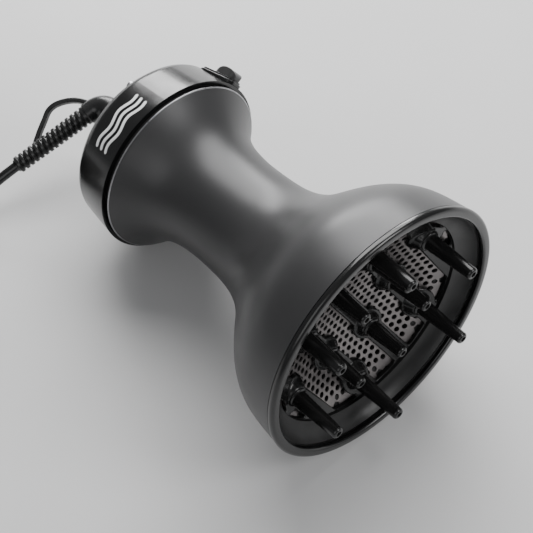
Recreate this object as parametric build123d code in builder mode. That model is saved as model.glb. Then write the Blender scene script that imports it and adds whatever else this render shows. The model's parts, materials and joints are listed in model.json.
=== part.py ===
from build123d import *
import math
import os

os.makedirs("parts", exist_ok=True)

# All-in-one diffuser hair dryer, lying on its side on a table.  Millimetres.
# The dryer is a body of revolution.  A place on it is given by three numbers: its distance behind
# the rim (s), its distance from the dryer's axis (r) and its angle round the axis, measured from
# the top of the lying dryer towards +Y.  +X is the horizontal direction that the mouth faces.

# ---- driving dimensions ----
RIM_RADIUS = 80.0           # mouth rim, outside
RIM_WIDTH = 5.8             # width of the rounded rim, seen from the front
RIM_BACK = 1.6              # the rim's cylindrical edge ends here
SHELL_FRONT = 2.2           # front and rear ends of the hourglass shell
SHELL_REAR = 166.0
SHELL_REAR_RADIUS = 53.9
SHELL_WALL = 2.4
BAND_FRONT = 168.5          # black rear band
BAND_REAR = 195.0
BAND_FRONT_RADIUS = 56.0
BAND_REAR_RADIUS = 52.5
BAND_EDGE = 3.0             # rounded rear edge, behind the band's straight side
EDGE_DROP = 0.6
BAND_WALL = 2.6
COVER_REAR = 212.0          # back of the domed rear cover

DISH_DEPTH = 32.0           # depth of the perforated dish at the dryer's axis
DISH_SPHERE = 130.0         # radius of the sphere that the dish is part of
MESH_THICKNESS = 0.8
GRID_RADIUS = 64.2          # clear radius of the finger grid
BAR_WIDTH = 12.0            # bars between the mesh windows
BAR_HEIGHT = 2.4
BAR_PITCH = 27.0            # rows of fingers, and the bars that carry them
GRID_ANGLE = 157.0          # direction in which the bars run

OUTER_RING = 2 * BAR_PITCH              # six long fingers
INNER_RING = BAR_PITCH / math.cos(math.radians(30))     # six short fingers
OUTER_TIP = -17.0           # the long fingers reach past the rim
INNER_TIP = -2.0
FINGER_BASE_RADIUS = 4.9
FINGER_TIP_RADIUS = 3.4
BOSS_RADIUS = 9.6

DUCT_BORE = 34.0            # fan duct
DUCT_WALL = 2.0
HEATER_BORE = 28.0          # mica tube in the dryer's waist
MOTOR_RADIUS = 14.0
SHAFT_RADIUS = 1.6
SHAFT_CLEARANCE = 0.06

SWITCH_ANGLE = 60.0         # where the thumb switch sits on the band
SWITCH_TRAVEL = 8.0         # off, low and high, 4 mm apart

CORD_RADIUS = 3.1
COIL_RADIUS = 35.5          # middle of the turns
COIL_TURNS = 7.25
COIL_PITCH = 6.4
TIE_THICKNESS = 0.8
PIN_RADIUS = 2.4            # plug pins, 19 mm apart
PIN_LENGTH = 19.0
PIN_SPACING = 19.0

# ---- the lying pose ----
# The dryer touches the table with its rim and with the rear end of its band's straight side.
TILT = math.atan2(RIM_RADIUS - BAND_REAR_RADIUS - EDGE_DROP, BAND_REAR - BAND_EDGE - RIM_BACK)
FORWARD = Vector(math.cos(TILT), 0, math.sin(TILT))
UP = Vector(-math.sin(TILT), 0, math.cos(TILT))
SIDE = Vector(0, 1, 0)
RIM_X = 119.1               # puts the origin under the middle of the dryer
RIM_HEIGHT = RIM_RADIUS * math.cos(TILT) + RIM_BACK * math.sin(TILT)
RIM_CENTRE = Vector(RIM_X, 0, RIM_HEIGHT)
AXIS = Axis(RIM_CENTRE, FORWARD)

# Half section: the sketch's X is s and its Y is r.
SECTION = Plane(origin=RIM_CENTRE, x_dir=FORWARD * -1, z_dir=SIDE)


def station(s, turn=0.0):
    """Plane across the dryer at s, facing forward, its Y axis pointing to the angle turn."""
    a = math.radians(turn)
    x_dir = SIDE * math.cos(a) - UP * math.sin(a)
    return Plane(origin=RIM_CENTRE - FORWARD * s, x_dir=x_dir, z_dir=FORWARD)


def outward(s, r, turn):
    """Plane at (s, r, turn) facing away from the axis, its X axis pointing to the rear."""
    a = math.radians(turn)
    radial = UP * math.cos(a) + SIDE * math.sin(a)
    return Plane(origin=RIM_CENTRE - FORWARD * s + radial * r, x_dir=FORWARD * -1, z_dir=radial)


def save(part, name):
    """Label a finished piece and write its STEP file."""
    part.label = name
    export_step(part, f"parts/{name}.step")


def inward(points, wall):
    """An outline moved towards the axis by a wall, square to the outline."""
    ends = [points[0]] + points + [points[-1]]
    moved = []
    for before, point, after in zip(ends, points, ends[2:]):
        run = math.dist(before, after)
        ds = wall * (after[1] - before[1]) / run
        dr = wall * (after[0] - before[0]) / run
        moved.append((point[0] + ds, point[1] - dr))
    return moved


def dish(r, lift=0.0):
    """Distance of the dish behind the rim at radius r, lifted towards the mouth."""
    return DISH_DEPTH - DISH_SPHERE + math.sqrt((DISH_SPHERE - lift) ** 2 - r ** 2)


def dish_arc(r_in, r_out, lift):
    """Three points of the dish's arc between two radii."""
    middle = (r_in + r_out) / 2
    return [(dish(r, lift), r) for r in (r_in, middle, r_out)]


# ---- shell and rim ----
SHELL_OUTLINE = [
    (SHELL_FRONT, 79.5), (13, 78.2), (26, 75.6), (38, 69.8), (52, 58.2), (68, 43.9),
    (84, 36.4), (104, 33.7), (128, 33.9), (146, 38.3), (SHELL_REAR, SHELL_REAR_RADIUS),
]

with BuildPart() as body_shell:
    with BuildSketch(SECTION):
        with BuildLine():
            inner = inward(SHELL_OUTLINE[:-1], SHELL_WALL) + [(SHELL_REAR, SHELL_REAR_RADIUS - 3.3)]
            Spline(*SHELL_OUTLINE)
            Spline(*inner)
            Line(SHELL_OUTLINE[0], inner[0])
            Line(SHELL_OUTLINE[-1], inner[-1])
        make_face()
    revolve(axis=AXIS)
save(body_shell.part, "body_shell")

with BuildPart() as rim_ring:
    lip = RIM_RADIUS - RIM_WIDTH
    with BuildSketch(SECTION):
        with BuildLine():
            Polyline((0, RIM_RADIUS), (RIM_BACK, RIM_RADIUS), (RIM_BACK, 76.6), (9, 75.9), (9, 75.2),
                     (2, 75.2), (2, lip), (-0.4, lip))
            ThreePointArc((-0.4, lip), (-1.5, lip + 0.5), (-2, lip + 1.7))
            Line((-2, lip + 1.7), (-2, RIM_RADIUS - 2))
            RadiusArc((-2, RIM_RADIUS - 2), (0, RIM_RADIUS), 2)
        make_face()
    revolve(axis=AXIS)
save(rim_ring.part, "rim_ring")

# ---- diffuser: bowl wall, finger grid, mesh, fingers ----
SKIRT_RADIUS = 67.4

with BuildPart() as diffuser_bowl:
    with BuildSketch(SECTION):
        with BuildLine():
            ThreePointArc((2.2, 73.6), (7.4, 69.6), (10.2, GRID_RADIUS + 0.2))
            Polyline((10.2, GRID_RADIUS + 0.2), (12.1, GRID_RADIUS + 0.2),
                     (dish(SKIRT_RADIUS, 2.6), SKIRT_RADIUS), (28, SKIRT_RADIUS), (28, SKIRT_RADIUS + 2),
                     (11, SKIRT_RADIUS + 2), (6, 73.8), (2.2, 75.1), (2.2, 73.6))
        make_face()
    revolve(axis=AXIS)
save(diffuser_bowl.part, "diffuser_bowl")


def finger_places(radius, first):
    """Six places round the axis, in the grid's own directions."""
    angles = [math.radians(first + 60 * k) for k in range(6)]
    return [(radius * math.sin(a), radius * math.cos(a)) for a in angles]


OUTER_PLACES = finger_places(OUTER_RING, 30)
INNER_PLACES = finger_places(INNER_RING, 0)
OUTER_BOSS = dish(OUTER_RING) - 5.4         # tops of the bosses
INNER_BOSS = dish(INNER_RING) - 5.4
BOSS_DEPTH = 6.0
ON_BASE = (Align.CENTER, Align.CENTER, Align.MIN)


def between_dishes(r_in, r_out, front_lift, back_lift):
    """The half section between two lifts of the dish."""
    front = dish_arc(r_in, r_out, front_lift)
    back = dish_arc(r_in, r_out, back_lift)
    with BuildSketch(SECTION) as section:
        with BuildLine():
            ThreePointArc(*front)
            ThreePointArc(*back)
            Line(front[0], back[0])
            Line(front[2], back[2])
        make_face()
    return section.sketch


with BuildPart() as finger_grid:
    edge = SKIRT_RADIUS - 0.2
    with BuildSketch(station(DISH_DEPTH + 6, GRID_ANGLE)):
        Circle(edge)
        Circle(GRID_RADIUS, mode=Mode.SUBTRACT)
        with Locations(*[(BAR_PITCH * k, 0) for k in (-2, -1, 0, 1, 2)]):
            Rectangle(BAR_WIDTH, 2 * GRID_RADIUS + 4)
        with Locations(*OUTER_PLACES, *INNER_PLACES):
            Circle(BOSS_RADIUS)
    extrude(amount=DISH_DEPTH + 6)
    revolve(between_dishes(0, edge, BAR_HEIGHT, 0.1), axis=AXIS, mode=Mode.INTERSECT)
    for top, places in ((OUTER_BOSS, OUTER_PLACES), (INNER_BOSS, INNER_PLACES)):
        for place in places:
            with Locations(station(top + BOSS_DEPTH, GRID_ANGLE).location * Pos(*place) * Rot(Z=40)):
                Cone(BOSS_RADIUS - 0.6, FINGER_BASE_RADIUS + 1.4, BOSS_DEPTH, align=ON_BASE)
    revolve(between_dishes(0, edge, 20, 0.1), axis=AXIS, mode=Mode.INTERSECT)
save(finger_grid.part, "finger_grid")

with BuildPart() as mesh_dish:
    revolve(between_dishes(0, SKIRT_RADIUS - 0.3, 0, -MESH_THICKNESS), axis=AXIS)
save(mesh_dish.part, "mesh_dish")

with BuildPart() as air_deflector:
    hold = [(s + 0.05, r) for s, r in dish_arc(60.5, SKIRT_RADIUS - 0.3, -MESH_THICKNESS)]
    with BuildSketch(SECTION):
        with BuildLine():
            ThreePointArc(*hold)
            Polyline(hold[2], (20, hold[2][1]), (22, 60.5), hold[0])
        make_face()
    revolve(axis=AXIS)
    with BuildSketch(station(46)):
        Circle(19)
        with PolarLocations(0, 3):
            with Locations((31, 0)):
                Rectangle(34, 5)
    extrude(amount=1.6)
    with BuildSketch(station(46)):
        with PolarLocations(46.5, 3):
            Rectangle(3, 5)
    extrude(amount=14)
    with BuildSketch(station(32)):
        with PolarLocations(54.5, 3):
            Rectangle(17, 5)
    extrude(amount=2)
    with BuildSketch(station(32)):
        with PolarLocations(61.5, 3):
            Rectangle(3, 5)
    extrude(amount=12)
save(air_deflector.part, "air_deflector")


def fingers(top, tip, places):
    """Tapered fingers with a dimpled tip, pegged into the grid's bosses."""
    dimple = 1.6
    with BuildPart() as made:
        with Locations(station(top, GRID_ANGLE)):
            with Locations(*places):
                Cone(FINGER_BASE_RADIUS, FINGER_TIP_RADIUS, top - tip, align=ON_BASE)
        ends = made.edges().filter_by(GeomType.CIRCLE).filter_by(lambda e: e.radius < FINGER_TIP_RADIUS + 0.1)
        fillet(ends, 1.2)
        with Locations(station(tip, GRID_ANGLE)):
            with Locations(*places):
                Cylinder(dimple, 4, mode=Mode.SUBTRACT)
    return made.part


save(fingers(OUTER_BOSS, OUTER_TIP, OUTER_PLACES), "outer_fingers")
save(fingers(INNER_BOSS, INNER_TIP, INNER_PLACES), "inner_fingers")

# ---- heater in the waist ----
COIL_STATIONS = [84 + 6.5 * k for k in range(7)]
COIL_RING_RADIUS = 24.7
COIL_RING_WIRE = 1.2
BOARD_THICKNESS = 0.8

with BuildPart() as heater_tube:
    with BuildSketch(station(134)):
        Circle(HEATER_BORE + BOARD_THICKNESS)
        Circle(HEATER_BORE, mode=Mode.SUBTRACT)
    extrude(amount=134 - 76)
save(heater_tube.part, "heater_tube")

with BuildPart() as heater_grille:
    with BuildSketch(station(90)):
        Circle(31)
        Circle(HEATER_BORE + BOARD_THICKNESS, mode=Mode.SUBTRACT)
    extrude(amount=16)
    with BuildSketch(station(76)):
        with GridLocations(0, 9, 1, 5):
            Rectangle(62, 1.6)
        Rectangle(1.6, 62)
        Circle(31, mode=Mode.INTERSECT)
    extrude(amount=2)
save(heater_grille.part, "heater_grille")

with BuildPart() as mica_boards:
    with BuildSketch(station(130)):
        Rectangle(2 * HEATER_BORE - 0.6, BOARD_THICKNESS)
        Rectangle(BOARD_THICKNESS, 2 * HEATER_BORE - 0.6)
    extrude(amount=130 - 78)
    for s in COIL_STATIONS:
        with BuildSketch(station(s + 1.7)):
            Circle(HEATER_BORE + 1)
            Circle(COIL_RING_RADIUS - 1.8, mode=Mode.SUBTRACT)
        extrude(amount=3.4, mode=Mode.SUBTRACT)
save(mica_boards.part, "mica_boards")

with BuildPart() as heating_coils:
    for s in COIL_STATIONS:
        with Locations(station(s)):
            Torus(COIL_RING_RADIUS, COIL_RING_WIRE)
save(heating_coils.part, "heating_coils")

with BuildPart() as thermal_cutout:
    with Locations(station(104).location * Pos(12, BOARD_THICKNESS / 2, 0) * Rot(X=-90)):
        Cylinder(4.5, 5, align=ON_BASE)
        Cylinder(3, 6, align=ON_BASE)
save(thermal_cutout.part, "thermal_cutout")

# ---- fan ----
MOTOR_FRONT = 150.0
MOTOR_REAR = 186.0
DUCT_REAR = 199.0
HUB_FRONT = 188.0
HUB_REAR = 197.5
HUB_RADIUS = 11.0
BLADES = 9

with BuildPart() as fan_duct:
    outside = DUCT_BORE + DUCT_WALL
    socket = HEATER_BORE + BOARD_THICKNESS + 0.1
    with BuildSketch(SECTION):
        with BuildLine():
            Polyline((131, socket + 1.8), (137, socket + 1.8), (149, outside), (DUCT_REAR, outside),
                     (DUCT_REAR, DUCT_BORE), (150, DUCT_BORE), (138.5, socket), (131, socket), close=True)
        make_face()
    revolve(axis=AXIS)
    with BuildSketch(station(184)):
        Circle(MOTOR_RADIUS + 1.6)
        Circle(MOTOR_RADIUS, mode=Mode.SUBTRACT)
    extrude(amount=32)
    with BuildSketch(station(182)):
        with PolarLocations((MOTOR_RADIUS + DUCT_BORE + 1.2) / 2, 5):
            Rectangle(DUCT_BORE - MOTOR_RADIUS - 0.4, 1.6)
    extrude(amount=24)
save(fan_duct.part, "fan_duct")

with BuildPart() as motor:
    with BuildSketch(station(MOTOR_REAR)):
        Circle(MOTOR_RADIUS)
    extrude(amount=MOTOR_REAR - MOTOR_FRONT)
    chamfer(motor.edges().filter_by(GeomType.CIRCLE), 0.8)
    with BuildSketch(station(MOTOR_REAR + 1.3)):
        Circle(4.5)
    extrude(amount=1.5)
    with BuildSketch(station(MOTOR_REAR + 1.3)):
        Circle(SHAFT_RADIUS + SHAFT_CLEARANCE)
    extrude(amount=16, mode=Mode.SUBTRACT)
save(motor.part, "motor")

with BuildPart() as rectifier_board:
    with BuildSketch(station(148)):
        Circle(MOTOR_RADIUS - 1)
    extrude(amount=1.6)
    with BuildSketch(station(146.4)):
        with GridLocations(8, 7, 2, 2):
            Rectangle(5, 2.8)
    extrude(amount=2.6)
    with BuildSketch(station(MOTOR_FRONT)):
        with GridLocations(17, 0, 2, 1):
            Rectangle(2, 0.8)
    extrude(amount=2)
save(rectifier_board.part, "rectifier_board")

with BuildPart() as motor_shaft:
    with BuildSketch(station(HUB_REAR - 0.5)):
        Circle(SHAFT_RADIUS)
    extrude(amount=24)
save(motor_shaft.part, "motor_shaft")

with BuildPart() as impeller:
    with BuildSketch(station(HUB_REAR)):
        Circle(HUB_RADIUS)
    extrude(amount=HUB_REAR - HUB_FRONT)
    fillet(impeller.edges().filter_by(GeomType.CIRCLE).sort_by(SortBy.DISTANCE, reverse=False)[0:1], 1.5)
    middle = (HUB_FRONT + HUB_REAR) / 2
    for k in range(BLADES):
        turn = 360 * k / BLADES
        with BuildSketch(outward(middle, HUB_RADIUS - 1, turn)):
            Rectangle(9.5, 1.4, rotation=48)
        with BuildSketch(outward(middle, DUCT_BORE - 0.7, turn)):
            Rectangle(11, 1.0, rotation=64)
        loft()
    with BuildSketch(station(HUB_REAR - 0.5)):
        Circle(SHAFT_RADIUS)
    extrude(amount=HUB_REAR - HUB_FRONT, mode=Mode.SUBTRACT)
save(impeller.part, "impeller")

# ---- chassis and rear casing ----
POST_RADIUS = 43.0          # circle of the three cover screws
POST_SIZE = 3.5
POST_TOP = 196.6
SCREW_RADIUS = 1.5
FLANGE_RADIUS = 52.3

with BuildPart() as chassis:
    with BuildSketch(station(BAND_FRONT)):
        Circle(FLANGE_RADIUS)
        Circle(DUCT_BORE + DUCT_WALL, mode=Mode.SUBTRACT)
    extrude(amount=BAND_FRONT - SHELL_REAR)
    with BuildSketch(station(POST_TOP)):
        with PolarLocations(POST_RADIUS, 3, start_angle=90):
            Circle(POST_SIZE)
    extrude(amount=POST_TOP - BAND_FRONT)
    with BuildSketch(station(POST_TOP)):
        with PolarLocations(POST_RADIUS, 3, start_angle=90):
            Circle(SCREW_RADIUS)
    extrude(amount=16, mode=Mode.SUBTRACT)
save(chassis.part, "chassis")

BAND_HEEL = (BAND_REAR - BAND_EDGE, BAND_REAR_RADIUS + EDGE_DROP)
BAND_END = (BAND_REAR, BAND_REAR_RADIUS - EDGE_DROP)
TRACK_SLOPE = 0.19         # the switch track falls towards the rear
TRACK_MIDDLE = (181.0, 56.8)
STEM = (172.6, 176.6)       # slider stem, front and rear, in the off position


def track(s):
    """Radius of the switch track at s."""
    return TRACK_MIDDLE[1] - TRACK_SLOPE * (s - TRACK_MIDDLE[0])


def switch_slot(width, r):
    """Slot for the slider's stem over its whole travel."""
    length = STEM[1] - STEM[0] + SWITCH_TRAVEL + 0.6
    with BuildSketch(outward(STEM[0] - 0.3 + length / 2, r, SWITCH_ANGLE)) as slot:
        RectangleRounded(length, width, 0.6)
    return slot.sketch


with BuildPart() as rear_band:
    with BuildSketch(SECTION):
        with BuildLine():
            Line((BAND_FRONT, BAND_FRONT_RADIUS), BAND_HEEL)
            RadiusArc(BAND_HEEL, BAND_END, 8)
            Polyline(BAND_END, (BAND_REAR, BAND_REAR_RADIUS - BAND_WALL),
                     (BAND_FRONT + 2.2, BAND_FRONT_RADIUS - BAND_WALL), (BAND_FRONT + 2.2, 47.5),
                     (BAND_FRONT, 47.5), (BAND_FRONT, BAND_FRONT_RADIUS))
        make_face()
    revolve(axis=AXIS)
    extrude(switch_slot(5.6, 46), amount=14, mode=Mode.SUBTRACT)
save(rear_band.part, "rear_band")

NECK_RADIUS = 6.8           # the cord boot's neck, in the hole at the cover's centre
COVER_FRONT, COVER_SKIRT = 195.1, 189.5     # the visible dome and the skirt inside the band
COVER_RADIUS, COVER_SKIRT_RADIUS = 51.7, 49.8
CLAMP_PITCH = 10.3
CLAMP_ANGLE = 180 - SWITCH_ANGLE

with BuildPart() as rear_cover:
    with BuildSketch(SECTION):
        with BuildLine():
            ThreePointArc((COVER_FRONT, COVER_RADIUS), (206.5, 37), (COVER_REAR, 9))
            Polyline((COVER_REAR, 9), (COVER_REAR, NECK_RADIUS), (COVER_REAR - 2, NECK_RADIUS),
                     (COVER_REAR - 2, 9))
            ThreePointArc((COVER_REAR - 2, 9), (204.7, 35.5), (COVER_FRONT, 47.9))
            Polyline((COVER_FRONT, 47.9), (COVER_SKIRT, 47.9), (COVER_SKIRT, COVER_SKIRT_RADIUS),
                     (COVER_FRONT, COVER_SKIRT_RADIUS), (COVER_FRONT, COVER_RADIUS))
        make_face()
    revolve(axis=AXIS)
    with BuildSketch(station(POST_TOP + 8)):
        with PolarLocations(POST_RADIUS, 3, start_angle=90):
            Circle(POST_SIZE)
    extrude(amount=8)
    with BuildSketch(station(210.5)):
        with PolarLocations(CLAMP_PITCH, 2, start_angle=CLAMP_ANGLE):
            Circle(2.2)
    extrude(amount=3)
    with BuildSketch(SECTION):
        with BuildLine():
            ThreePointArc((COVER_FRONT, COVER_RADIUS), (206.5, 37), (COVER_REAR, 9))
            Polyline((COVER_REAR, 9), (COVER_REAR, 0), (COVER_SKIRT, 0), (COVER_SKIRT, COVER_RADIUS),
                     (COVER_FRONT, COVER_RADIUS))
        make_face()
    revolve(axis=AXIS, mode=Mode.INTERSECT)
    with BuildSketch(station(COVER_REAR + 1)):
        with PolarLocations(24, 12):
            SlotOverall(13, 3)
        with PolarLocations(39.5, 24, start_angle=7.5):
            SlotOverall(9, 3)
    extrude(amount=14, mode=Mode.SUBTRACT)
    with BuildSketch(station(COVER_REAR)):
        with PolarLocations(POST_RADIUS, 3, start_angle=90):
            Circle(SCREW_RADIUS + 0.2)
    extrude(amount=COVER_REAR - POST_TOP + 1, mode=Mode.SUBTRACT)
    with BuildSketch(station(COVER_REAR)):
        with PolarLocations(POST_RADIUS, 3, start_angle=90):
            Circle(3.1)
    extrude(amount=COVER_REAR - 200.5, mode=Mode.SUBTRACT)
    with BuildSketch(station(210)):
        with PolarLocations(CLAMP_PITCH, 2, start_angle=CLAMP_ANGLE):
            Circle(0.9)
    extrude(amount=3, mode=Mode.SUBTRACT)
save(rear_cover.part, "rear_cover")

with BuildPart() as cover_screws:
    with BuildSketch(station(202.4)):
        with PolarLocations(POST_RADIUS, 3, start_angle=90):
            Circle(2.9)
            with Locations((0, 0)):
                RegularPolygon(1.2, 6, mode=Mode.SUBTRACT)
    extrude(amount=1.9)
    with BuildSketch(station(200.7)):
        with PolarLocations(POST_RADIUS, 3, start_angle=90):
            Circle(SCREW_RADIUS - 0.05)
    extrude(amount=16)
save(cover_screws.part, "cover_screws")

with BuildPart() as filter_screen:
    with BuildSketch(station(DUCT_REAR + 0.8)):
        Circle(DUCT_BORE + DUCT_WALL)
    extrude(amount=0.8)
save(filter_screen.part, "filter_screen")

# ---- switch ----
SLIDER_FRONT, SLIDER_REAR = 171.0, 184.6
SLIDER_WIDTH = 11.5
TRACK_GAP = 0.12


def side_plane(offset=0.0):
    """Half section through the switch, moved sideways: X is s and Y is r."""
    a = math.radians(SWITCH_ANGLE)
    radial = UP * math.cos(a) + SIDE * math.sin(a)
    across = SIDE * math.cos(a) - UP * math.sin(a)
    return Plane(origin=RIM_CENTRE + across * offset, x_dir=FORWARD * -1, z_dir=(FORWARD * -1).cross(radial))


def plate(front, rear, width, corner, lift):
    """A plate with round corners on the band, its top parallel to the switch track."""
    with BuildPart() as made:
        with BuildSketch(outward((front + rear) / 2, 50, SWITCH_ANGLE)):
            RectangleRounded(rear - front, width, corner)
        extrude(amount=15)
        with BuildSketch(side_plane()):
            with BuildLine():
                Polyline((front - 2, 40), (front - 2, track(front - 2) + lift),
                         (rear + 2, track(rear + 2) + lift), (rear + 2, 40), close=True)
            make_face()
        extrude(amount=width, both=True, mode=Mode.INTERSECT)
    return made.part


pad_foot = plate(168.9, 193.6, 15.6, 5.5, -1.3)
pad_track = plate(169.8, 192.8, 13.6, 5.0, 0)

with BuildPart() as switch_pad:
    add(pad_foot)
    add(pad_track)
    with BuildSketch(SECTION):
        with BuildLine():
            Line((BAND_FRONT, BAND_FRONT_RADIUS), BAND_HEEL)
            RadiusArc(BAND_HEEL, BAND_END, 8)
            Polyline(BAND_END, (BAND_REAR + 3, BAND_END[1]), (BAND_REAR + 3, 0),
                     (BAND_FRONT, 0), (BAND_FRONT, BAND_FRONT_RADIUS))
        make_face()
    revolve(axis=AXIS, mode=Mode.SUBTRACT)
    extrude(switch_slot(5.6, 46), amount=18, mode=Mode.SUBTRACT)
save(switch_pad.part, "switch_pad")

with BuildPart() as switch_slider:
    with BuildSketch(outward((SLIDER_FRONT + SLIDER_REAR) / 2, 50, SWITCH_ANGLE)):
        RectangleRounded(SLIDER_REAR - SLIDER_FRONT, SLIDER_WIDTH, 4)
    extrude(amount=15)
    with BuildSketch(side_plane()):
        with BuildLine():
            foot_front = (SLIDER_FRONT - 0.1, track(SLIDER_FRONT - 0.1) + TRACK_GAP)
            foot_rear = (SLIDER_REAR + 0.1, track(SLIDER_REAR + 0.1) + TRACK_GAP)
            Line(foot_rear, foot_front)
            Line(foot_front, (foot_front[0], 60.3))
            Spline((foot_front[0], 60.3), (172.4, 62.3), (175.9, 62.9), (180.0, 61.9), (183.3, 58.8),
                   foot_rear)
        make_face()
    extrude(amount=SLIDER_WIDTH, both=True, mode=Mode.INTERSECT)
    with BuildSketch(side_plane()):
        with Locations(((STEM[0] + STEM[1]) / 2, 54.3)):
            Rectangle(STEM[1] - STEM[0], 9.8)
    extrude(amount=2.5, both=True)
save(switch_slider.part, "switch_slider")

with BuildPart() as switch_body:
    with BuildSketch(outward(180, 40, SWITCH_ANGLE)):
        Rectangle(17.4, 13)
    extrude(amount=9.4)
    extrude(switch_slot(5.8, 46), amount=5, mode=Mode.SUBTRACT)
save(switch_body.part, "switch_body")

with BuildPart() as lead_wires:
    for offset in (-1.6, 1.6):
        with BuildLine(side_plane(offset)) as path:
            FilletPolyline((207.4, 2.5), (202.6, 2.5), (202.6, 35), (196, 43), (188.8, 43), radius=2.4)
        with BuildSketch(Plane(path.line @ 0, z_dir=path.line % 0)):
            Circle(1.1)
        sweep(path=path.line)
save(lead_wires.part, "lead_wires")

with BuildPart() as cord_clamp:
    with BuildSketch(station(207.5)):
        Circle(12.8)
        Circle(4.4, mode=Mode.SUBTRACT)
        with PolarLocations(CLAMP_PITCH, 2, start_angle=CLAMP_ANGLE):
            Circle(1.1, mode=Mode.SUBTRACT)
    extrude(amount=1.5)
save(cord_clamp.part, "cord_clamp")

with BuildPart() as clamp_screws:
    with BuildSketch(station(206)):
        with PolarLocations(CLAMP_PITCH, 2, start_angle=CLAMP_ANGLE):
            Circle(2)
    extrude(amount=1.3)
    with BuildSketch(station(209.4)):
        with PolarLocations(CLAMP_PITCH, 2, start_angle=CLAMP_ANGLE):
            Circle(0.85)
    extrude(amount=3.4)
save(clamp_screws.part, "clamp_screws")

# ---- cord boot: neck, elbow, ribbed tail and hanging loop in one moulding ----
KNEE = RIM_CENTRE - FORWARD * 240.5
TAIL_TURN = math.radians(101.5)     # the tail points this far clockwise of +X, seen from above
TAIL_DROP = math.radians(19.7)      # and this far below the horizontal
TAIL = Vector(math.cos(TAIL_DROP) * math.cos(TAIL_TURN), -math.cos(TAIL_DROP) * math.sin(TAIL_TURN),
              -math.sin(TAIL_DROP))
LOOP_LEAN = math.radians(20)
LOOP_NORMAL = Vector(0, math.sin(LOOP_LEAN), -math.cos(LOOP_LEAN))
LOOP_PLANE = Plane(origin=KNEE, x_dir=TAIL, z_dir=LOOP_NORMAL)     # X runs along the tail
TAIL_LENGTH = 65.5
RIBS = 15
FIRST_RIB, LAST_RIB = 13.4, 63.1
RIB_HEIGHT = 1.3
RIB_FOOT, RIB_TOP = 1.35, 1.0           # half widths of a rib; the slots between them are narrow
SPINE_ANGLES = (0, 72, 180, 252)        # spines that join the ribs, from the loop's upper side
LOOP_POINTS = [(3, 1.5), (6.9, 4.8), (9.5, 8.4), (12, 11.4), (16.3, 14.9), (21.2, 17.4), (26.3, 18.6),
               (30.5, 17.9), (34.9, 14.9), (39.5, 11.6), (44.3, 7.9), (48.5, 4.2)]


def tail_radius(d):
    """Core of the ribbed tail, d along it from the knee."""
    return 4.9 - 0.9 * d / TAIL_LENGTH


with BuildPart() as cord_boot:
    with BuildSketch(station(COVER_REAR - 2)):
        Circle(8)
    extrude(amount=2.5)
    with BuildLine() as bend:
        FilletPolyline(RIM_CENTRE - FORWARD * (COVER_REAR - 3), KNEE, KNEE + TAIL * 12, radius=10)
    with BuildSketch(Plane(origin=bend.line @ 0, z_dir=bend.line % 0)):
        Circle(NECK_RADIUS)
    sweep(path=bend.line)
    outline = [(8, 0), (8, tail_radius(8))]
    for k in range(RIBS):
        d = FIRST_RIB + (LAST_RIB - FIRST_RIB) * k / (RIBS - 1)
        top = tail_radius(d) + RIB_HEIGHT
        outline += [(d - RIB_FOOT, tail_radius(d - RIB_FOOT)), (d - RIB_TOP, top), (d + RIB_TOP, top),
                    (d + RIB_FOOT, tail_radius(d + RIB_FOOT))]
    outline += [(TAIL_LENGTH, tail_radius(TAIL_LENGTH)), (TAIL_LENGTH, 0)]
    with BuildSketch(LOOP_PLANE):
        with BuildLine():
            Polyline(*outline, close=True)
        make_face()
    revolve(axis=Axis(KNEE, TAIL))
    for angle in SPINE_ANGLES:
        with Locations(Plane(KNEE + TAIL * 10, x_dir=LOOP_NORMAL * -1, z_dir=TAIL).location * Rot(Z=-angle)):
            Box(5.1, 1.7, 53, align=(Align.MIN, Align.CENTER, Align.MIN))
    with BuildLine(LOOP_PLANE) as strap:
        Spline(*LOOP_POINTS)
    with BuildSketch(Plane(origin=strap.line @ 0, x_dir=LOOP_NORMAL, z_dir=strap.line % 0)):
        RectangleRounded(4.2, 3, 0.9)
    sweep(path=strap.line)
save(cord_boot.part, "cord_boot")

# ---- cord: a lead to the coil, the coil, and a tail to the plug ----
COIL_LOW = TIE_THICKNESS + 0.1 + CORD_RADIUS        # height of the lowest turn's middle
COIL_HIGH = COIL_LOW + COIL_TURNS * COIL_PITCH
COIL_ENTRY = math.radians(-20.6)                    # where the cord runs into the first turn
COIL_EXIT = COIL_ENTRY - math.radians(360 * COIL_TURNS)
COIL_X, COIL_Y = RIM_X - 296.0, -109.6


def on_coil(angle, z):
    """A point on the middle line of the coil."""
    return Vector(COIL_X + COIL_RADIUS * math.cos(angle), COIL_Y + COIL_RADIUS * math.sin(angle), z)


def clockwise(angle):
    """The direction of the cord at an angle on the coil."""
    return Vector(math.sin(angle), -math.cos(angle), 0)


def runs(start, *steps):
    """Points reached by steps of (length, heading in degrees, rise)."""
    points = [start]
    for length, heading, rise in steps:
        a = math.radians(heading)
        points.append(points[-1] + Vector(length * math.cos(a), length * math.sin(a), rise))
    return points


def corner_radii(points):
    """Bend radii that use up most of the shorter run at each corner."""
    radii = []
    for before, point, after in zip(points, points[1:], points[2:]):
        turn = (point - before).get_angle(after - point)
        shorter = min((point - before).length, (after - point).length)
        radii.append(0.45 * shorter / math.tan(math.radians(turn / 2)))
    return radii


BOOT_END = KNEE + TAIL * TAIL_LENGTH
ENTRY = on_coil(COIL_ENTRY, COIL_LOW)
LEAD = [BOOT_END, BOOT_END + TAIL * 20.5, ENTRY - clockwise(COIL_ENTRY) * 20, ENTRY]
TAIL_RUNS = [(27, math.degrees(COIL_ENTRY) + 180, -2.9), (26, 143, -10.5), (26, 127, -12),
             (26, 111, -7.8), (22, 108, 0)]
COIL_OUT = on_coil(COIL_EXIT, COIL_HIGH)
PLUG_Z = COIL_HIGH + sum(rise for length, heading, rise in TAIL_RUNS)
PLUG_LEAD = runs(COIL_OUT, *TAIL_RUNS)

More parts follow.
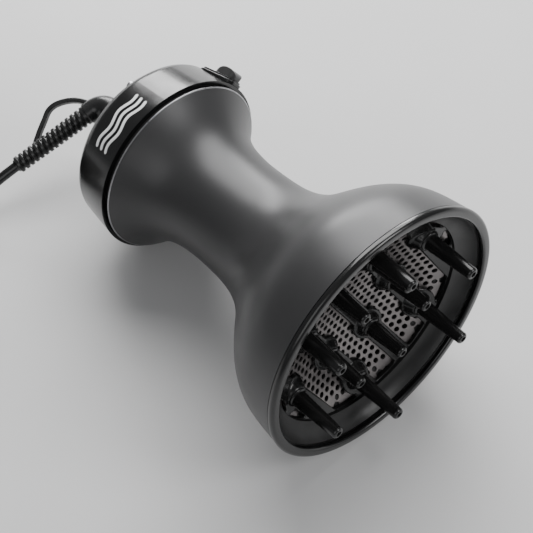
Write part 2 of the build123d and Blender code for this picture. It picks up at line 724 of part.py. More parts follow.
with BuildPart() as cord:
    for points in (LEAD, PLUG_LEAD):
        with BuildLine() as path:
            FilletPolyline(*points, radius=corner_radii(points))
        with BuildSketch(Plane(origin=path.line @ 0, z_dir=path.line % 0)):
            Circle(CORD_RADIUS)
        sweep(path=path.line)
save(cord.part, "cord")

with BuildPart() as cord_coil:
    with BuildSketch(Plane.XY.offset(COIL_LOW - CORD_RADIUS)):
        with Locations((COIL_X, COIL_Y)):
            Circle(COIL_RADIUS + CORD_RADIUS)
            Circle(COIL_RADIUS - CORD_RADIUS, mode=Mode.SUBTRACT)
    extrude(amount=COIL_HIGH - COIL_LOW + 2 * CORD_RADIUS)
save(cord_coil.part, "cord_coil")

with BuildPart() as coil_tie:
    middle = (COIL_LOW + COIL_HIGH) / 2
    inside = (2 * CORD_RADIUS, COIL_HIGH - COIL_LOW + 2 * CORD_RADIUS)
    with Locations(Pos(COIL_X, COIL_Y, middle) * Rot(Z=60) * Pos(COIL_RADIUS, 0, 0)):
        Box(inside[0] + 2 * TIE_THICKNESS + 0.3, 10, inside[1] + 2 * TIE_THICKNESS)
        Box(inside[0] + 0.3, 12, inside[1], mode=Mode.SUBTRACT)
    with BuildSketch(Plane.XY):
        with Locations((COIL_X, COIL_Y)):
            Circle(COIL_RADIUS + CORD_RADIUS)
            Circle(COIL_RADIUS - CORD_RADIUS, mode=Mode.SUBTRACT)
    extrude(amount=COIL_HIGH + CORD_RADIUS, mode=Mode.SUBTRACT)
save(coil_tie.part, "coil_tie")

# ---- plug ----
PLUG_RADIUS = 17.0
RELIEF_LENGTH = 22.0
PLUG_LENGTH = 46.0
PIN_ROOT = 9.0              # length of each pin inside the plug
PIN_ROOT_RADIUS = 1.9
PLUG_TURN = math.radians(TAIL_RUNS[-1][1])
PLUG_AHEAD = Vector(math.cos(PLUG_TURN), math.sin(PLUG_TURN), 0)
PLUG_BACK = PLUG_LEAD[-1]
PLUG_FACE = Plane(origin=PLUG_BACK + PLUG_AHEAD * PLUG_LENGTH, x_dir=Vector(0, 0, 1).cross(PLUG_AHEAD),
                  z_dir=PLUG_AHEAD)

with BuildPart() as plug_body:
    with BuildSketch(Plane(origin=PLUG_BACK, x_dir=PLUG_AHEAD, z_dir=PLUG_AHEAD.cross(Vector(0, 0, 1)))):
        with BuildLine():
            Polyline((PLUG_LENGTH, 0), (0, 0), (0, 4.3), (RELIEF_LENGTH, 6.4), (RELIEF_LENGTH + 4, 13))
            RadiusArc((RELIEF_LENGTH + 4, 13), (RELIEF_LENGTH + 9, PLUG_RADIUS), 7)
            Polyline((RELIEF_LENGTH + 9, PLUG_RADIUS), (PLUG_LENGTH - 0.8, PLUG_RADIUS),
                     (PLUG_LENGTH, PLUG_RADIUS - 0.8), (PLUG_LENGTH, 0))
        make_face()
    revolve(axis=Axis(PLUG_BACK, PLUG_AHEAD))
    with BuildSketch(PLUG_FACE):
        with GridLocations(PIN_SPACING, 0, 2, 1):
            Circle(PIN_ROOT_RADIUS)
    extrude(amount=-PIN_ROOT, mode=Mode.SUBTRACT)
save(plug_body.part, "plug_body")

with BuildPart() as plug_pins:
    with BuildSketch(PLUG_FACE):
        with GridLocations(PIN_SPACING, 0, 2, 1):
            Circle(PIN_RADIUS)
    extrude(amount=PIN_LENGTH)
    fillet(plug_pins.faces().sort_by(Axis(PLUG_BACK, PLUG_AHEAD))[-2:].edges(), 1.5)
    with BuildSketch(PLUG_FACE.offset(-PIN_ROOT)):
        with GridLocations(PIN_SPACING, 0, 2, 1):
            Circle(PIN_ROOT_RADIUS)
    extrude(amount=PIN_ROOT)
save(plug_pins.part, "plug_pins")
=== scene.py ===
import json
import math

import bmesh
import bpy
import numpy as np
from mathutils import Matrix, Vector


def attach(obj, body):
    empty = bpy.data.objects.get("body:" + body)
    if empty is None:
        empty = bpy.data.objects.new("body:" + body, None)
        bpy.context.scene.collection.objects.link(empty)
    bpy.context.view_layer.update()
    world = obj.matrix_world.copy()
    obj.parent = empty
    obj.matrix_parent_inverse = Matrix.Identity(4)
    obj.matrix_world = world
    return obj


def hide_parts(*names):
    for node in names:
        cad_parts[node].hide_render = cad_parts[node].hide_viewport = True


# Looks of a diffuser hair dryer lying on its side.  Metres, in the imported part's frame.
# Places on the dryer are (s, r, turn): distance behind the rim and from the axis in millimetres,
# and the angle round the axis in degrees, from the top of the lying dryer towards +Y.

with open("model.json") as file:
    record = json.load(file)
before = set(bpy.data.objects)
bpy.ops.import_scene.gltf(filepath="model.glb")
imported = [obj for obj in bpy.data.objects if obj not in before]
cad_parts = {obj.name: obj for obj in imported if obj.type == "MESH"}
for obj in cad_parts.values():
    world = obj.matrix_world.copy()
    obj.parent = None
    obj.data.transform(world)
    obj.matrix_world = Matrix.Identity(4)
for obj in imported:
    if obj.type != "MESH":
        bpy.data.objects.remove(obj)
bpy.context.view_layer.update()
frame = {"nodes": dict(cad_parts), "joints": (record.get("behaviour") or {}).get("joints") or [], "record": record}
nodes = frame["nodes"]
MM = 0.001

spin = next(j for j in frame["joints"] if j["name"] == "fan_spin")
FORWARD = Vector(spin["axis"]).normalized()
SIDE = Vector((0, 1, 0))
UP = FORWARD.cross(SIDE)
HUB_STATION = 190.0                     # where the record's fan joint sits on the axis
RIM = Vector(spin["pos_m"]) + FORWARD * HUB_STATION * MM


def at(s, r=0.0, turn=0.0):
    """A point of the dryer, in metres."""
    a = math.radians(turn)
    return RIM - FORWARD * (s * MM) + (UP * math.cos(a) + SIDE * math.sin(a)) * (r * MM)


# ---- camera ----
RIGHT = Vector((0.67139, 0.74111, 0.0)).normalized()
AHEAD = Vector((-0.37540, 0.34009, -0.86221)).normalized()
CAMERA_OFFSET = Vector((0.22087, -0.28257))
CAMERA_HEIGHT = 0.75207
SENSOR_WIDTH, LENS = 36.0, 97.95        # millimetres

camera_data = bpy.data.cameras.new("camera")
camera = bpy.data.objects.new("camera", camera_data)
bpy.context.scene.collection.objects.link(camera)
camera_data.sensor_width = SENSOR_WIDTH
camera_data.lens = LENS
camera_data.clip_start = 0.02
back = -AHEAD
rotation = Matrix((RIGHT, back.cross(RIGHT), back)).transposed()
place = Vector((RIM.x + CAMERA_OFFSET.x, RIM.y + CAMERA_OFFSET.y, CAMERA_HEIGHT))
camera.matrix_world = Matrix.Translation(place) @ rotation.to_4x4()
bpy.context.scene.camera = camera

# ---- the cord's route ----
CORD_DIAMETER = 6.2 * MM
KNEE_STATION = 240.5                    # the boot's bend, on the axis
TAIL_TURN, TAIL_DROP = 101.5, 19.7      # the boot's tail, clockwise of +X and below level
TAIL_LENGTH = 0.0655
TAIL_LEAD, ENTRY_LEAD = 0.0205, 0.020   # control points beyond the tail and before the coil
COIL_TURNS = 7.25
COIL_POINTS = 24                        # per turn
COIL_RADIUS = 0.0355
COIL_CENTRE = Vector((-0.1769, -0.1096))
COIL_LOW = 0.0040
COIL_PITCH = 0.0064
COIL_ENTRY = math.radians(-20.6)
PLUG_RUNS = [(0.027, 159.4, -0.0029), (0.026, 143, -0.0105), (0.026, 127, -0.012),
             (0.026, 111, -0.0078), (0.022, 108, 0)]      # length, heading and rise, to the plug


def cord_route():
    """Control points from the boot to the coil, round its turns, and on to the plug."""
    turn, drop = math.radians(TAIL_TURN), math.radians(TAIL_DROP)
    tail = Vector((math.cos(drop) * math.cos(turn), -math.cos(drop) * math.sin(turn), -math.sin(drop)))
    end = at(KNEE_STATION) + tail * TAIL_LENGTH
    entry = COIL_CENTRE.to_3d() + Vector((math.cos(COIL_ENTRY), math.sin(COIL_ENTRY), 0)) * COIL_RADIUS
    entry.z = COIL_LOW
    heading = Vector((math.sin(COIL_ENTRY), -math.cos(COIL_ENTRY), 0))
    route = [end, end + tail * TAIL_LEAD, entry - heading * ENTRY_LEAD]
    for k in range(round(COIL_TURNS * COIL_POINTS) + 1):
        a = COIL_ENTRY - 2 * math.pi * k / COIL_POINTS
        route.append(Vector((COIL_CENTRE.x + COIL_RADIUS * math.cos(a),
                             COIL_CENTRE.y + COIL_RADIUS * math.sin(a),
                             COIL_LOW + COIL_PITCH * k / COIL_POINTS)))
    for length, way, rise in PLUG_RUNS:
        a = math.radians(way)
        route.append(route[-1] + Vector((length * math.cos(a), length * math.sin(a), rise)))
    return route


route = cord_route()
cord_curve = bpy.data.curves.new("mains_cord", "CURVE")
cord_curve.dimensions = "3D"
spline = cord_curve.splines.new("NURBS")
spline.points.add(len(route) - 1)
for point, place in zip(spline.points, route):
    point.co = (*place, 1)
    point.radius = CORD_DIAMETER / 2
spline.order_u = 3
spline.use_endpoint_u = True
spline.resolution_u = 6
cord_curve.bevel_depth = 1.0            # times each point's radius
cord_curve.bevel_resolution = 6
cord_curve.use_fill_caps = True
mains_cord = bpy.data.objects.new("mains_cord", cord_curve)
bpy.context.scene.collection.objects.link(mains_cord)
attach(mains_cord, "dryer")
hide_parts("cord", "cord_coil")


# ---- materials ----
GRAIN_DEPTH, THREAD_DEPTH = 0.00004, 0.0002


def noise(tree, scale, detail=3.0, stretch=None):
    """A noise texture in object coordinates, optionally stretched."""
    coords = tree.nodes.new("ShaderNodeTexCoord")
    texture = tree.nodes.new("ShaderNodeTexNoise")
    texture.inputs["Scale"].default_value = scale
    texture.inputs["Detail"].default_value = detail
    if stretch:
        mapping = tree.nodes.new("ShaderNodeMapping")
        mapping.inputs["Scale"].default_value = stretch
        tree.links.new(coords.outputs["Object"], mapping.inputs["Vector"])
        tree.links.new(mapping.outputs["Vector"], texture.inputs["Vector"])
    else:
        tree.links.new(coords.outputs["Object"], texture.inputs["Vector"])
    return texture.outputs["Fac"]


def ramp(tree, value, low, high, dark, light):
    """A colour ramp from dark to light between two values."""
    node = tree.nodes.new("ShaderNodeValToRGB")
    node.color_ramp.elements[0].position = low
    node.color_ramp.elements[1].position = high
    node.color_ramp.elements[0].color = (*dark, 1)
    node.color_ramp.elements[1].color = (*light, 1)
    tree.links.new(value, node.inputs["Fac"])
    return node.outputs["Color"]


def grey(v):
    """A neutral colour."""
    return (v, v, v)


def finish(name, dark, light, rough=(0.3, 0.4), metal=0.0, grain=900, bump=0.05, blotch=35,
           coat=0.0, coat_rough=0.1, stretch=None, sheen=0.0):
    """Colour drifts slowly between dark and light, gloss varies, and a fine grain roughens the surface."""
    material = bpy.data.materials.new(name)
    material.use_nodes = True
    tree = material.node_tree
    shader = tree.nodes["Principled BSDF"]
    shader.inputs["Metallic"].default_value = metal
    shader.inputs["Coat Weight"].default_value = coat
    shader.inputs["Coat Roughness"].default_value = coat_rough
    shader.inputs["Sheen Weight"].default_value = sheen
    tree.links.new(ramp(tree, noise(tree, blotch, 4), 0.3, 0.7, dark, light), shader.inputs["Base Color"])
    tree.links.new(ramp(tree, noise(tree, blotch * 3, 5), 0.3, 0.7, grey(rough[0]), grey(rough[1])),
                   shader.inputs["Roughness"])
    relief = tree.nodes.new("ShaderNodeBump")
    relief.inputs["Strength"].default_value = bump
    relief.inputs["Distance"].default_value = GRAIN_DEPTH
    tree.links.new(noise(tree, grain, 2, stretch), relief.inputs["Height"])
    tree.links.new(relief.outputs["Normal"], shader.inputs["Normal"])
    return material


def weave(name, dark, light, pitch):
    """Two crossed sets of threads."""
    material = finish(name, dark, light, (0.7, 0.85), bump=0.3, sheen=0.3)
    tree = material.node_tree
    relief = next(n for n in tree.nodes if n.type == "BUMP")
    coords = tree.nodes.new("ShaderNodeTexCoord")
    added = None
    for direction in ("X", "Y", "Z"):
        wave = tree.nodes.new("ShaderNodeTexWave")
        wave.bands_direction = direction
        wave.inputs["Scale"].default_value = pitch
        tree.links.new(coords.outputs["Object"], wave.inputs["Vector"])
        if added is None:
            added = wave.outputs["Fac"]
            continue
        total = tree.nodes.new("ShaderNodeMath")
        total.operation = "MULTIPLY_ADD"
        total.inputs[1].default_value = 0.5
        tree.links.new(wave.outputs["Fac"], total.inputs[0])
        tree.links.new(added, total.inputs[2])
        added = total.outputs[0]
    tree.links.new(added, relief.inputs["Height"])
    relief.inputs["Distance"].default_value = THREAD_DEPTH
    return material


SLOTS = {
    "graphite_paint": finish("satin_graphite", (0.050, 0.050, 0.051), (0.057, 0.057, 0.058), (0.36, 0.41),
                             metal=0.5, grain=2600, bump=0.12, blotch=14),
    "gloss_black": finish("piano_black", grey(0.004), grey(0.006), (0.19, 0.26), grain=700, bump=0.0,
                          coat=0.15, coat_rough=0.08),
    "bowl_black": finish("bowl_black", grey(0.007), grey(0.010), (0.36, 0.46), grain=1500, bump=0.06),
    "finger_black": finish("finger_black", grey(0.008), grey(0.011), (0.17, 0.24), grain=1500, bump=0.03),
    "mesh_steel": finish("perforated_steel", (0.22, 0.205, 0.205), (0.30, 0.28, 0.275), (0.30, 0.42),
                         metal=0.9, grain=1800, bump=0.15, blotch=60, stretch=(1, 6, 1)),
    "dark_plastic": finish("moulded_black", grey(0.012), grey(0.018), (0.45, 0.6), grain=2200, bump=0.25),
    "mica": finish("mica_sheet", (0.42, 0.33, 0.20), (0.62, 0.52, 0.36), (0.3, 0.5),
                   grain=300, bump=0.1, blotch=220),
    "heater_wire": finish("nichrome", (0.20, 0.18, 0.17), (0.34, 0.32, 0.30), (0.35, 0.5),
                          metal=1.0, blotch=120),
    "motor_steel": finish("zinc_steel", (0.40, 0.40, 0.41), (0.55, 0.55, 0.56), (0.3, 0.45),
                          metal=1.0, blotch=90),
    "screw_steel": finish("screw_steel", (0.30, 0.30, 0.31), (0.42, 0.42, 0.43), (0.25, 0.4),
                          metal=1.0, blotch=200),
    "circuit_board": finish("circuit_board", (0.03, 0.12, 0.05), (0.05, 0.20, 0.09), (0.4, 0.5),
                            blotch=300),
    "impeller_grey": finish("impeller_grey", grey(0.10), grey(0.14), (0.4, 0.5), grain=1500, bump=0.1),
    "filter_fabric": weave("filter_weave", grey(0.010), grey(0.020), 900),
    "wire_insulation": finish("wire_red", (0.10, 0.012, 0.010), (0.14, 0.018, 0.014), (0.35, 0.45),
                              blotch=80),
    "boot_rubber": finish("boot_rubber", grey(0.010), grey(0.015), (0.22, 0.30), grain=1800, bump=0.05),
    "cord_jacket": finish("cord_jacket", grey(0.007), grey(0.010), (0.18, 0.28), grain=1100, bump=0.05),
    "tie_fabric": weave("tie_weave", grey(0.014), grey(0.028), 700),
    "plug_plastic": finish("plug_black", grey(0.010), grey(0.014), (0.32, 0.44), grain=1500, bump=0.12),
    "pin_metal": finish("pin_nickel", (0.62, 0.61, 0.57), (0.74, 0.73, 0.70), (0.16, 0.26),
                        metal=1.0, blotch=150),
}
mark_white = finish("mark_white", grey(0.70), grey(0.78), (0.35, 0.45), grain=1200, bump=0.04)

slot_of = {entry["node"]: entry["material_slot"] for entry in frame["record"]["subparts"]}
for name, node in nodes.items():
    node.data.materials.clear()
    node.data.materials.append(SLOTS[slot_of[name]])
cord_curve.materials.append(SLOTS["cord_jacket"])


# ---- mesh helpers ----
SHARP = 32                              # edges that turn more than this many degrees stay crisp
MOULDED_SHARP = 75                      # the same, on remeshed mouldings
NEARLY_FLAT = 1.0                       # facets that turn less than this many degrees are merged
MERGE = 2e-6                            # corners nearer than this are one
TURN_SEGMENTS = 320


def piece(name, mesh, body, stands_for, slot, sharp=SHARP):
    """Link a finished mesh as a smooth-shaded piece with sharp edges kept."""
    obj = bpy.data.objects.new(name, mesh)
    bpy.context.scene.collection.objects.link(obj)
    work = bmesh.new()
    work.from_mesh(mesh)
    bmesh.ops.recalc_face_normals(work, faces=work.faces)
    limit = math.radians(sharp)
    for face in work.faces:
        face.smooth = True
    for edge in work.edges:
        edge.smooth = len(edge.link_faces) == 2 and edge.calc_face_angle(0) < limit
    work.to_mesh(mesh)
    work.free()
    mesh.materials.clear()
    mesh.materials.append(SLOTS[slot])
    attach(obj, body)
    if stands_for:
        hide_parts(*stands_for)
    return obj


def lathe(name, profile, stands_for, slot, sharp=SHARP):
    """A ring swept round the dryer's axis from a closed outline of (s, r)."""
    work = bmesh.new()
    rings = [[work.verts.new(at(s, r, 360 * k / TURN_SEGMENTS)) for s, r in profile]
             for k in range(TURN_SEGMENTS)]
    count = len(profile)
    for k, ring in enumerate(rings):
        other = rings[(k + 1) % TURN_SEGMENTS]
        for i in range(count):
            j = (i + 1) % count
            work.faces.new((ring[i], ring[j], other[j], other[i]))
    mesh = bpy.data.meshes.new(name)
    work.to_mesh(mesh)
    work.free()
    return piece(name, mesh, "dryer", stands_for, slot, sharp)


def arc(centre, radius, first, last, steps):
    """Points of a round corner, angles in degrees from +s towards +r."""
    angles = [math.radians(first + (last - first) * k / steps) for k in range(steps + 1)]
    return [(centre[0] + radius * math.cos(a), centre[1] + radius * math.sin(a)) for a in angles]


def smooth_line(points, steps):
    """A natural cubic through (s, r) points, by chord length."""
    p = np.array(points, float)
    t = np.concatenate([[0], np.cumsum(np.hypot(*np.diff(p, axis=0).T))])
    n = len(p)
    h = np.diff(t)
    a = np.eye(n)
    b = np.zeros((n, 2))
    for i in range(1, n - 1):
        a[i, i - 1:i + 2] = h[i - 1], 2 * (h[i - 1] + h[i]), h[i]
        b[i] = 6 * ((p[i + 1] - p[i]) / h[i] - (p[i] - p[i - 1]) / h[i - 1])
    m = np.linalg.solve(a, b)
    out = []
    for x in np.linspace(0, t[-1], steps):
        i = min(int(np.searchsorted(t, x, "right")) - 1, n - 2)
        u, v = t[i + 1] - x, x - t[i]
        out.append(tuple((m[i] * u ** 3 + m[i + 1] * v ** 3) / (6 * h[i])
                         + (p[i] / h[i] - m[i] * h[i] / 6) * u
                         + (p[i + 1] / h[i] - m[i + 1] * h[i] / 6) * v))
    return out


def softened(node, voxel, passes, body="dryer"):
    """A copy of a CAD node with soft moulded edges, remeshed at a voxel in millimetres and smoothed."""
    work = bpy.data.objects.new(node + "_work", nodes[node].data.copy())
    bpy.context.scene.collection.objects.link(work)
    remesh = work.modifiers.new("remesh", "REMESH")
    remesh.mode = "VOXEL"
    remesh.voxel_size = voxel * MM
    smooth = work.modifiers.new("smooth", "SMOOTH")
    smooth.factor = 0.5
    smooth.iterations = passes
    bpy.context.view_layer.update()
    mesh = bpy.data.meshes.new_from_object(work.evaluated_get(bpy.context.evaluated_depsgraph_get()))
    bpy.data.objects.remove(work)
    return piece(node + "_moulding", mesh, body, [node], slot_of[node], MOULDED_SHARP)


def rounded(node, width):
    """A copy of a CAD node with its sharp edges rounded over a width in millimetres."""
    mesh = nodes[node].data.copy()
    work = bmesh.new()
    work.from_mesh(mesh)
    bmesh.ops.remove_doubles(work, verts=work.verts, dist=MERGE)
    bmesh.ops.dissolve_limit(work, angle_limit=math.radians(NEARLY_FLAT), verts=work.verts, edges=work.edges)
    limit = math.radians(SHARP)
    edges = [e for e in work.edges if len(e.link_faces) == 2 and e.calc_face_angle(0) > limit]
    bmesh.ops.bevel(work, geom=edges, offset=width * MM, segments=3, profile=0.5, affect="EDGES",
                    clamp_overlap=True)
    work.to_mesh(mesh)
    work.free()
    return piece(node + "_moulding", mesh, "dryer", [node], slot_of[node])


# ---- shell and rim ----
SHELL = [(2.2, 79.5), (13, 78.2), (26, 75.6), (38, 69.8), (52, 58.2), (68, 43.9), (84, 36.4), (104, 33.7),
         (128, 33.9), (146, 38.3), (166, 53.9)]
SHELL_WALL = 2.5
MOUTH_WALL = 1.6
BEAD_RADIUS = 0.42                      # the bright bead on the shell's rear edge
RIM_INNER_ROUND, RIM_OUTER_ROUND = 1.6, 2.2
shell_outer = smooth_line(SHELL, 150)
shell_inner = [(s, r - SHELL_WALL) for s, r in shell_outer[4:-2]]
edge_s, edge_r = shell_outer[-1]
rear_edge = [(edge_s - 0.55, edge_r - 0.45), (edge_s, edge_r - 0.75), (edge_s, edge_r - 3.2)]
front_edge = [(SHELL[0][0], SHELL[0][1] - MOUTH_WALL)]
lathe("shell_casing", shell_outer[:-1] + rear_edge + shell_inner[::-1] + front_edge,
      ["body_shell"], "graphite_paint")

lathe("shell_edge", [(edge_s - 1.0, edge_r - 1.3), (edge_s - 0.7, edge_r - 0.66)]
      + arc((edge_s - 0.2, edge_r - 0.4), BEAD_RADIUS, 150, 10, 8) + [(edge_s + 0.2, edge_r - 1.6)],
      [], "screw_steel", 60)

lathe("mouth_rim", [(1.6, 79.75), (1.6, 75.3)] + arc((-0.4, 75.8), RIM_INNER_ROUND, 270, 180, 6)
      + arc((0.2, 77.8), RIM_OUTER_ROUND, 180, 90, 10),
      ["rim_ring"], "gloss_black", 50)

# ---- perforated dish ----
DISH_DEPTH, DISH_SPHERE = 32.0, 130.0
GRID_ANGLE = math.radians(157.0)        # the grid's bars lie at this turn round the axis
ACROSS = SIDE * math.cos(GRID_ANGLE) - UP * math.sin(GRID_ANGLE)
ALONG = UP * math.cos(GRID_ANGLE) + SIDE * math.sin(GRID_ANGLE)
HOLE_PITCH = 4.85
HOLE_RADIUS = 1.62
HOLE_SIDES = 12
HOLE_ROWS = 17                          # on each side of the middle one
HOLES_END = 61.0                        # the sheet is plain beyond this
MESH_EDGE = 66.8
SHEET = 0.8                             # thickness


def dish(r, lift=0.0):
    """Station of the dish's front face, or of a layer lifted from it, at a distance from the axis."""
    return DISH_DEPTH - DISH_SPHERE + math.sqrt((DISH_SPHERE - lift) ** 2 - r ** 2)


def on_dish(x, y, lift):
    """A point of the dish, x across the bars and y along them."""
    return RIM - FORWARD * (dish(math.hypot(x, y), lift) * MM) + ACROSS * (x * MM) + ALONG * (y * MM)


def polygon(x, y, radius, sides):
    """Corners of a regular polygon, the first of them at 30 degrees."""
    angles = [math.radians(30 + 360 / sides * k) for k in range(sides)]
    return [(x + radius * math.cos(a), y + radius * math.sin(a)) for a in angles]


def perforated_dish():
    """Hexagonal cells in rows along the bars, each with a round hole, through a thin dished sheet."""
    work = bmesh.new()
    found = {}

    def vertex(x, y, lift):
        key = (round(x, 4), round(y, 4), lift)
        if key not in found:
            found[key] = work.verts.new(on_dish(y, x, lift))    # rows of cells run along the bars
        return found[key]

    sides = {}
    corner = HOLE_PITCH / math.sqrt(3)
    step_y = HOLE_PITCH * math.sqrt(3) / 2
    for j in range(-HOLE_ROWS, HOLE_ROWS + 1):
        for i in range(-HOLE_ROWS, HOLE_ROWS + 1):
            cx, cy = (i + 0.5 * (j % 2)) * HOLE_PITCH, j * step_y
            if math.hypot(cx, cy) > MESH_EDGE - HOLE_PITCH / 2:
                continue
            hexagon = polygon(cx, cy, corner, 6)
            border = []
            for k in range(6):
                a, b = hexagon[k], hexagon[(k + 1) % 6]
                border += [a, ((a[0] + b[0]) / 2, (a[1] + b[1]) / 2)]
            circle = polygon(cx, cy, HOLE_RADIUS, HOLE_SIDES)
            if math.hypot(cx, cy) > HOLES_END:
                circle = [(cx, cy)] * HOLE_SIDES
            for k in range(HOLE_SIDES):
                n = (k + 1) % HOLE_SIDES
                ends = tuple(sorted((round(x, 4), round(y, 4)) for x, y in (border[k], border[n])))
                sides[ends] = sides.get(ends, 0) + 1
                plain = circle[k] == circle[n]
                for lift in (0.0, -SHEET):
                    corners = [border[k], border[n], circle[n]] + ([] if plain else [circle[k]])
                    work.faces.new([vertex(*corner_point, lift) for corner_point in corners])
                if not plain:
                    work.faces.new([vertex(*circle[k], 0.0), vertex(*circle[n], 0.0),
                                    vertex(*circle[n], -SHEET), vertex(*circle[k], -SHEET)])
    for a, b in [side for side, uses in sides.items() if uses == 1]:
        work.faces.new([vertex(*a, 0.0), vertex(*b, 0.0), vertex(*b, -SHEET), vertex(*a, -SHEET)])
    bmesh.ops.remove_doubles(work, verts=work.verts, dist=MERGE)
    mesh = bpy.data.meshes.new("perforated_dish")
    work.to_mesh(mesh)
    work.free()
    return piece("perforated_dish", mesh, "dryer", ["mesh_dish"], "mesh_steel")


perforated_dish()

# ---- mouldings with softened or rounded edges, the cord's plug and tie among them ----
plug = softened("plug_body", 0.5, 3)
tie = rounded("coil_tie", 0.2)
for name, voxel, passes in (("finger_grid", 0.6, 2), ("switch_pad", 0.22, 2), ("cord_boot", 0.3, 2)):
    softened(name, voxel, passes)
slider = softened("switch_slider", 0.2, 5, "slider")
slider.data.materials[0] = finish("thumb_grey", grey(0.028), grey(0.036), (0.30, 0.38),
                                  grain=1500, bump=0.05)
for name, width in (("rear_cover", 0.35), ("cover_screws", 0.2)):
    rounded(name, width)

# ---- fingers ----
BAR_PITCH = 27.0
BOSS_LIFT = 5.4
FINGER_BASE, FINGER_TIP = 4.9, 3.4      # radii
FINGER_SIDES = 48
TAPER_STEPS = 10
COLLAR_RADIUS = 6.1
TIP_ROUND = 1.6
DIMPLE_RADIUS, DIMPLE_DEPTH = 1.6, 5.0
LONG_TIP, SHORT_TIP = -17.0, -2.0       # stations; the long fingers reach out past the rim


def fingers(name, node, ring, first, tip):
    """Six tapered fingers with a collar, a round tip and a small dimple."""
    top = dish(ring) - BOSS_LIFT
    taper = (FINGER_BASE - FINGER_TIP) / (top - tip)
    outline = [(top + 0.5, 0.0), (top + 0.5, COLLAR_RADIUS), (top - 0.3, COLLAR_RADIUS),
               (top - 0.75, 5.85), (top - 0.9, 5.3), (top - 1.2, FINGER_BASE - 1.2 * taper)]
    outline += [(top + (tip + TIP_ROUND - top) * k / TAPER_STEPS,
                 FINGER_BASE + (FINGER_TIP - FINGER_BASE) * k / TAPER_STEPS)
                for k in range(2, TAPER_STEPS + 1)]
    outline += arc((tip + TIP_ROUND, FINGER_TIP - 1.5), TIP_ROUND, 80, 180, 9)
    outline += [(tip + 0.12, DIMPLE_RADIUS), (tip + 0.5, 1.5), (tip + DIMPLE_DEPTH, 1.3),
                (tip + DIMPLE_DEPTH, 0.0)]
    work = bmesh.new()
    for k in range(6):
        b = math.radians(first + 60 * k)
        x, y = ring * math.sin(b), ring * math.cos(b)
        centre = RIM + (ACROSS * x + ALONG * y) * MM
        rings = []
        for s, r in outline:
            middle = centre - FORWARD * (s * MM)
            if r == 0:
                rings.append([work.verts.new(middle)])
                continue
            rings.append([work.verts.new(middle + (ACROSS * math.cos(t) + ALONG * math.sin(t)) * (r * MM))
                          for t in [2 * math.pi * n / FINGER_SIDES for n in range(FINGER_SIDES)]])
        for low, high in zip(rings, rings[1:]):
            for n in range(FINGER_SIDES):
                m = (n + 1) % FINGER_SIDES
                if len(low) == 1:
                    work.faces.new((low[0], high[m], high[n]))
                elif len(high) == 1:
                    work.faces.new((low[n], low[m], high[0]))
                else:
                    work.faces.new((low[n], low[m], high[m], high[n]))
    mesh = bpy.data.meshes.new(name)
    work.to_mesh(mesh)
    work.free()
    return piece(name, mesh, "dryer", [node], "finger_black", 50)


fingers("long_fingers", "outer_fingers", 2 * BAR_PITCH, 30, LONG_TIP)
fingers("short_fingers", "inner_fingers", BAR_PITCH / math.cos(math.radians(30)), 0, SHORT_TIP)

# ---- a generic mark on the band: three waves of warm air ----
MARK_TURN = -27.0
MARK_STATION = 180.5
MARK_LENGTH = 38.0                      # along the band
MARK_STROKE = 1.9
MARK_GAP = 4.2
MARK_SWING = 1.1
MARK_RIPPLE = 4 * math.pi               # two full waves in each stroke
MARK_STEPS = 72
MARK_SECTION = [(-1, -0.1), (-1, 0.05), (-0.85, 0.09), (0.85, 0.09), (1, 0.05), (1, -0.1)]
BAND_FRONT, BAND_LENGTH = 168.5, 23.5
BAND_FRONT_RADIUS, BAND_TAPER = 56.0, 2.9


def band_radius(s):
    """Outside of the rear band."""
    return BAND_FRONT_RADIUS - BAND_TAPER / BAND_LENGTH * (s - BAND_FRONT)


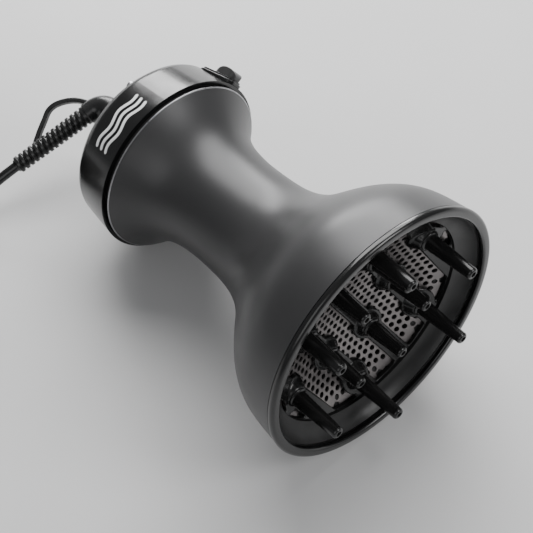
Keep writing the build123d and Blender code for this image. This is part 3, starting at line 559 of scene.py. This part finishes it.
def wave(number):
    """One wavy stroke with round ends, lying on the band."""
    work = bmesh.new()
    rows = []
    for k in range(MARK_STEPS + 1):
        t = k / MARK_STEPS
        along = (t - 0.5) * MARK_LENGTH
        across = MARK_STATION + (number - 1) * MARK_GAP + MARK_SWING * math.sin(MARK_RIPPLE * t)
        slope = math.atan2(MARK_SWING * MARK_RIPPLE * math.cos(MARK_RIPPLE * t), MARK_LENGTH)
        near = min(along + MARK_LENGTH / 2, MARK_LENGTH / 2 - along)
        half = MARK_STROKE / 2
        if near < half:
            half = math.sqrt(max(half ** 2 - (half - near) ** 2, 1e-4))
        row = []
        for side, lift in MARK_SECTION:
            s = across + side * half * math.cos(slope)
            radius = band_radius(s)
            arc_length = along - side * half * math.sin(slope)
            row.append(work.verts.new(at(s, radius + lift, MARK_TURN + math.degrees(arc_length / radius))))
        rows.append(row)
    count = len(MARK_SECTION)
    for a, b in zip(rows, rows[1:]):
        for i in range(count):
            j = (i + 1) % count
            work.faces.new((a[i], a[j], b[j], b[i]))
    work.faces.new(rows[0])
    work.faces.new(rows[-1][::-1])
    mesh = bpy.data.meshes.new(f"mark_wave_{number}")
    work.to_mesh(mesh)
    work.free()
    piece(f"mark_wave_{number}", mesh, "dryer", [], "gloss_black")
    mesh.materials[0] = mark_white      # the record has no slot for this paint


for number in range(3):
    wave(number)

# ---- floor and light ----
FLOOR_HALF = 6
SKY = (0.96, 0.97, 1.0, 1)
SKY_STRENGTH = 0.24

floor_mesh = bpy.data.meshes.new("floor")
floor_mesh.from_pydata([(x, y, 0) for x, y in ((-FLOOR_HALF, -FLOOR_HALF), (FLOOR_HALF, -FLOOR_HALF),
                                               (FLOOR_HALF, FLOOR_HALF), (-FLOOR_HALF, FLOOR_HALF))],
                       [], [(0, 1, 2, 3)])
floor = bpy.data.objects.new("floor", floor_mesh)
bpy.context.scene.collection.objects.link(floor)
floor_material = finish("studio_floor", grey(0.60), grey(0.64), (0.6, 0.7), blotch=4, grain=60, bump=0.02)
floor_mesh.materials.append(floor_material)

world = bpy.data.worlds.new("studio")
bpy.context.scene.world = world
world.use_nodes = True
world.node_tree.nodes["Background"].inputs["Color"].default_value = SKY
world.node_tree.nodes["Background"].inputs["Strength"].default_value = SKY_STRENGTH


def softbox(name, place, target, width, height, power):
    """An area light at place that faces target."""
    light = bpy.data.lights.new(name, "AREA")
    light.shape = "RECTANGLE"
    light.size, light.size_y, light.energy = width, height, power
    obj = bpy.data.objects.new(name, light)
    bpy.context.scene.collection.objects.link(obj)
    way = Vector(target) - Vector(place)
    obj.matrix_world = Matrix.Translation(place) @ way.to_track_quat("-Z", "Y").to_matrix().to_4x4()


softbox("key", (-0.50, 0.55, 1.00), (0, 0, 0.08), 1.2, 0.8, 22)
softbox("rear", (-0.84, 0.66, 0.42), (0, 0, 0.08), 0.8, 0.36, 14)
softbox("side", (0.80, 0.50, 0.8), (0.05, 0, 0.08), 0.4, 0.6, 5)
softbox("fill", (0.5, -0.9, 0.9), (0, 0, 0.05), 0.8, 0.8, 3)
